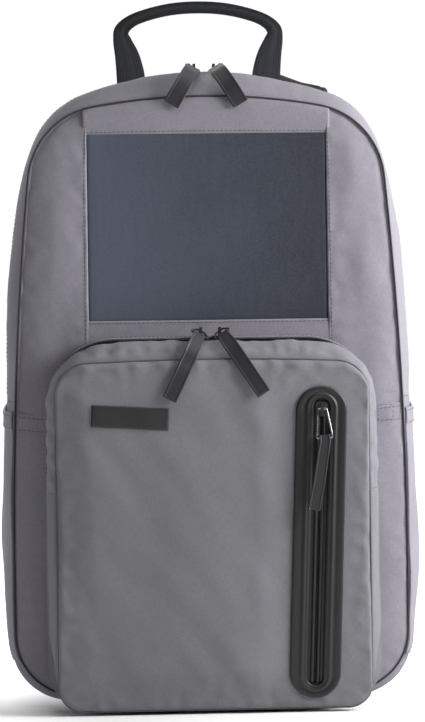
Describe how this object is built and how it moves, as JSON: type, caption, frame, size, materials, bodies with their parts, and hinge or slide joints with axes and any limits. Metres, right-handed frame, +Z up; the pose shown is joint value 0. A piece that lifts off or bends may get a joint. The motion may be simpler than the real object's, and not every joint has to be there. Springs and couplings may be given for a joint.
{
  "type": "solar backpack",
  "caption": "Padded commuter backpack with a flat solar laminate over a zipped front pocket, a welt zip, and a battery pack wired inside.",
  "frame": {"origin": "middle of the base, on the surface the bag stands on", "axes": "+Z up, -Y towards the front with the solar laminate, +X to the right as seen from the front"},
  "size_m": [0.3138, 0.2369, 0.5391],
  "materials": {
    "body_cloth": "heathered grey polyester",
    "pocket_cloth": "heathered neutral grey polyester",
    "black_cloth": "black mesh and oxford cloth",
    "webbing": "black ribbed polyester webbing",
    "lining": "grey taffeta",
    "zip_tape": "black zip tape",
    "coil": "black nylon coil",
    "black_metal": "black enamel",
    "gunmetal": "bright gunmetal wire",
    "pull": "black pull tabs",
    "welt_film": "matt black welded film",
    "label": "blank black label",
    "solar_face": "fine textured slate blue film",
    "cells": "dark blue silicon cells",
    "backsheet": "black backsheet",
    "black_plastic": "moulded black acetal",
    "case": "dark grey polycarbonate",
    "cell_foil": "foil pouch cell",
    "board": "green circuit board",
    "cable": "black jacket"
  },
  "bodies": {
    "bag": {"back_panel": "black_cloth", "back_pads": "black_cloth", "gusset_front_strip": "body_cloth", "gusset_rear_strip": "body_cloth", "gusset_lower": "body_cloth", "base_board": "black_plastic", "base_patch": "black_cloth", "front_side_panels": "body_cloth", "front_header": "body_cloth", "front_centre_panel": "body_cloth", "seam_piping": "black_cloth", "side_pocket_left": "body_cloth", "side_pocket_right": "body_cloth", "main_zip_tapes": "zip_tape", "main_zip_coils": "coil", "pocket_front_strip": "pocket_cloth", "pocket_rear_strip": "pocket_cloth", "pocket_lower_gusset": "pocket_cloth", "pocket_front_panel": "pocket_cloth", "pocket_zip_tapes": "zip_tape", "pocket_zip_coils": "coil", "label_patch": "label", "welt_patch": "welt_film", "welt_zip": "zip_tape", "solar_film": "solar_face", "solar_cells": "cells", "solar_backsheet": "backsheet", "solar_junction_box": "black_plastic", "solar_cable": "cable", "battery_case_front": "case", "battery_case_rear": "case", "battery_cell": "cell_foil", "battery_board": "board", "battery_pocket": "lining", "laptop_sleeve": "lining", "strap_webbing_left": "webbing", "strap_webbing_right": "webbing", "strap_anchors": "webbing"},
    "handle": {"grab_handle": "webbing"},
    "plug": {"usb_plug": "black_plastic"},
    "button": {"battery_button": "case"},
    "strap_left": {"strap_pad_left": "black_cloth", "ladder_lock_left": "black_plastic"},
    "strap_right": {"strap_pad_right": "black_cloth", "ladder_lock_right": "black_plastic"},
    "main_slider_left": {"main_slider_left": "black_metal"},
    "main_loop_left": {"main_loop_left": "black_metal"},
    "main_tab_left": {"main_tab_left": "pull"},
    "pocket_slider_left": {"pocket_slider_left": "black_metal"},
    "pocket_loop_left": {"pocket_loop_left": "black_metal"},
    "pocket_tab_left": {"pocket_tab_left": "pull"},
    "main_slider_right": {"main_slider_right": "black_metal"},
    "main_loop_right": {"main_loop_right": "black_metal"},
    "main_tab_right": {"main_tab_right": "pull"},
    "pocket_slider_right": {"pocket_slider_right": "black_metal"},
    "pocket_loop_right": {"pocket_loop_right": "black_metal"},
    "pocket_tab_right": {"pocket_tab_right": "pull"},
    "welt_slider": {"welt_slider": "black_metal"},
    "welt_loop": {"welt_loop": "gunmetal"},
    "welt_tab": {"welt_tab": "pull"}
  },
  "joints": [
    {"name": "main_zip_left", "type": "hinge", "parent": "bag", "child": "main_slider_left", "pos_m": [0, -0.032, 0.2055], "axis": [0, -1, 0], "range_deg": [0, 17]},
    {"name": "main_loop_left_swing", "type": "hinge", "parent": "main_slider_left", "child": "main_loop_left", "pos_m": [-0.00732, -0.032, 0.4744], "axis": [-0.8572, 0, 0.515], "range_deg": [0, 85]},
    {"name": "main_tab_left_swing", "type": "hinge", "parent": "main_loop_left", "child": "main_tab_left", "pos_m": [-0.00693, -0.04297, 0.47506], "axis": [-0.8572, 0, 0.515], "range_deg": [0, 50]},
    {"name": "pocket_zip_left", "type": "slide", "parent": "bag", "child": "pocket_slider_left", "axis": [-1, 0, 0], "range_m": [0, 0.055]},
    {"name": "pocket_loop_left_swing", "type": "hinge", "parent": "pocket_slider_left", "child": "pocket_loop_left", "pos_m": [-0.007, -0.084, 0.276], "axis": [-0.8988, 0, 0.4384], "range_deg": [0, 85]},
    {"name": "pocket_tab_left_swing", "type": "hinge", "parent": "pocket_loop_left", "child": "pocket_tab_left", "pos_m": [-0.00666, -0.09497, 0.27669], "axis": [-0.8988, 0, 0.4384], "range_deg": [0, 50]},
    {"name": "main_zip_right", "type": "hinge", "parent": "bag", "child": "main_slider_right", "pos_m": [0, -0.032, 0.2055], "axis": [0, 1, 0], "range_deg": [0, 17]},
    {"name": "main_loop_right_swing", "type": "hinge", "parent": "main_slider_right", "child": "main_loop_right", "pos_m": [0.00732, -0.032, 0.4744], "axis": [-0.8572, 0, -0.515], "range_deg": [0, 85]},
    {"name": "main_tab_right_swing", "type": "hinge", "parent": "main_loop_right", "child": "main_tab_right", "pos_m": [0.00693, -0.04297, 0.47506], "axis": [-0.8572, 0, -0.515], "range_deg": [0, 50]},
    {"name": "pocket_zip_right", "type": "slide", "parent": "bag", "child": "pocket_slider_right", "axis": [1, 0, 0], "range_m": [0, 0.055]},
    {"name": "pocket_loop_right_swing", "type": "hinge", "parent": "pocket_slider_right", "child": "pocket_loop_right", "pos_m": [0.007, -0.084, 0.276], "axis": [-0.8387, 0, -0.5446], "range_deg": [0, 85]},
    {"name": "pocket_tab_right_swing", "type": "hinge", "parent": "pocket_loop_right", "child": "pocket_tab_right", "pos_m": [0.00658, -0.09497, 0.27664], "axis": [-0.8387, 0, -0.5446], "range_deg": [0, 50]},
    {"name": "welt_zip", "type": "slide", "parent": "bag", "child": "welt_slider", "axis": [-0.0384, 0, -0.9993], "range_m": [0, 0.13]},
    {"name": "welt_loop_swing", "type": "hinge", "parent": "welt_slider", "child": "welt_loop", "pos_m": [0.07869, -0.1132, 0.21843], "axis": [-0.9976, 0, -0.0698], "range_deg": [0, 80]},
    {"name": "welt_tab_swing", "type": "hinge", "parent": "welt_loop", "child": "welt_tab", "pos_m": [0.08015, -0.11467, 0.19753], "axis": [-0.9976, 0, -0.0698], "range_deg": [0, 60]},
    {"name": "handle_tilt", "type": "hinge", "parent": "bag", "child": "handle", "pos_m": [0, 0.0642, 0.4688], "axis": [1, 0, 0], "range_deg": [-38, 65]},
    {"name": "strap_left_lift", "type": "hinge", "parent": "bag", "child": "strap_left", "pos_m": [0, 0.075, 0.45], "axis": [1, 0, 0], "range_deg": [0, 15], "deforming": ["strap_webbing_left"]},
    {"name": "strap_right_lift", "type": "hinge", "parent": "bag", "child": "strap_right", "pos_m": [0, 0.075, 0.45], "axis": [1, 0, 0], "range_deg": [0, 15], "deforming": ["strap_webbing_right"]},
    {"name": "plug_pull", "type": "slide", "parent": "bag", "child": "plug", "axis": [0, 0, 1], "range_m": [0, 0.012], "deforming": ["solar_cable"]},
    {"name": "button_press", "type": "slide", "parent": "bag", "child": "button", "axis": [0, 1, 0], "range_m": [0, 0.0008], "stiffness_N_per_m": 900}
  ]
}
